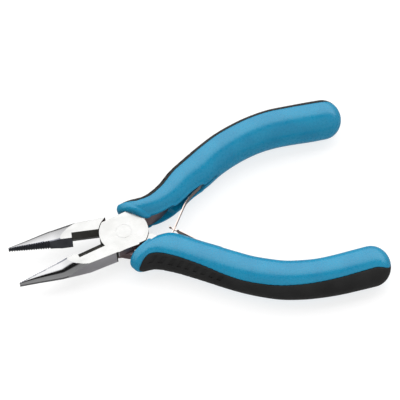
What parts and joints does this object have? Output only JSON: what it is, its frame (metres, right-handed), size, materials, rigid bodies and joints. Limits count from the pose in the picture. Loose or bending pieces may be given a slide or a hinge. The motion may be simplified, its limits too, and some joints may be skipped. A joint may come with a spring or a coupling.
{
  "type": "long-nose combination pliers",
  "caption": "Small long-nose pliers with half-round tapered jaws, fine-toothed flat gripping faces, a side cutter, a lap joint, crossed leaf return springs and curved two-material grips.",
  "frame": {"origin": "on the pivot axis, on the flat back face of the joint", "axes": "+Z along the pivot from the back face to the front face, -X towards the jaws, +X towards the handles, +Y towards the upper jaw and upper handle"},
  "size_m": [0.123, 0.077, 0.0138],
  "materials": {
    "ground_steel": "ground and polished tool steel, satin flat faces, bright tapered jaws",
    "rivet_steel": "plain steel, ground flush",
    "spring_steel": "bright hardened spring strip",
    "blue_grip": "matte mid-blue elastomer with a fine grain",
    "black_grip": "satin black elastomer with low moulded ribs"
  },
  "bodies": {
    "upper_jaw_side": {"upper_jaw_half": "ground_steel", "pivot_rivet": "rivet_steel", "lower_grip_sleeve": "blue_grip", "lower_grip_insert": "black_grip", "lower_spring_rivet": "rivet_steel"},
    "lower_jaw_side": {"lower_jaw_half": "ground_steel", "upper_grip_sleeve": "blue_grip", "upper_grip_insert": "black_grip", "upper_spring_rivet": "rivet_steel"},
    "slotted_leaf": {"slotted_leaf_spring": "spring_steel"},
    "tee_leaf": {"tee_leaf_spring": "spring_steel"}
  },
  "joints": [
    {"name": "main_pivot", "type": "hinge", "parent": "upper_jaw_side", "child": "lower_jaw_side", "pos_m": [0, 0, 0.003], "axis": [0, 0, -1], "range_deg": [0, 20], "stiffness_Nm_per_rad": 0.4, "springref_deg": -5.73},
    {"name": "slotted_leaf_flex", "type": "hinge", "parent": "lower_jaw_side", "child": "slotted_leaf", "pos_m": [0.0345, 0.0153, 0.003], "axis": [0, 0, -1], "range_deg": [0, 9]},
    {"name": "tee_leaf_flex", "type": "hinge", "parent": "upper_jaw_side", "child": "tee_leaf", "pos_m": [0.0335, -0.0186, 0.003], "axis": [0, 0, 1], "range_deg": [0, 9]}
  ],
  "couplings": [
    {"joint": "slotted_leaf_flex", "follows": "main_pivot", "ratio": 0.4},
    {"joint": "tee_leaf_flex", "follows": "main_pivot", "ratio": 0.4}
  ]
}
